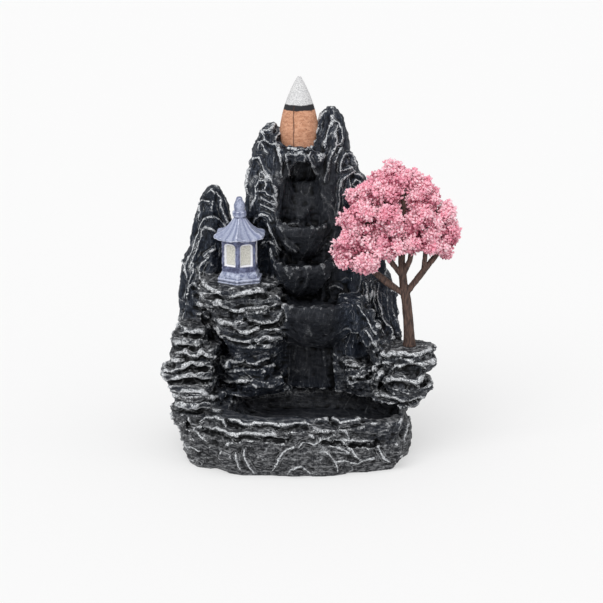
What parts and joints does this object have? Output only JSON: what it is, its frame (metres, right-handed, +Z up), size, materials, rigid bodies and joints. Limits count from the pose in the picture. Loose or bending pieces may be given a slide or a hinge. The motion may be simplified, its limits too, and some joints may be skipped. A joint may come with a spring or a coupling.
{
  "type": "backflow incense burner",
  "caption": "Cast rock mountain with stepped bowls above a pool, an incense cone in a cup at the top, a small garden lantern and a pink blossom tree on its ledges.",
  "frame": {"origin": "on the table plane, under the middle of the base", "axes": "+X to the right seen from the front, +Y to the back, +Z up; the bowls and the pool face -Y"},
  "size_m": [0.1042, 0.0742, 0.1305],
  "materials": {
    "rock_resin": "cast resin, painted dark blue-grey and dry-brushed pale grey on its edges",
    "lantern_resin": "cast resin, painted periwinkle blue with pale edges and cream window panes",
    "incense": "pressed powder, tan below, a char band and pale grey ash above",
    "trunk_plastic": "matt brown moulding with shallow bark grooves",
    "blossom": "matt foam crumbs in pink"
  },
  "bodies": {
    "root": {"rock_body": "rock_resin", "lantern": "lantern_resin", "incense_cone": "incense", "tree_trunk": "trunk_plastic", "foliage_back": "blossom", "foliage_crown": "blossom", "foliage_front": "blossom", "foliage_left_high": "blossom", "foliage_left_low": "blossom", "foliage_left_middle": "blossom", "foliage_right": "blossom", "foliage_right_high": "blossom", "foliage_right_middle": "blossom"}
  },
  "joints": []
}
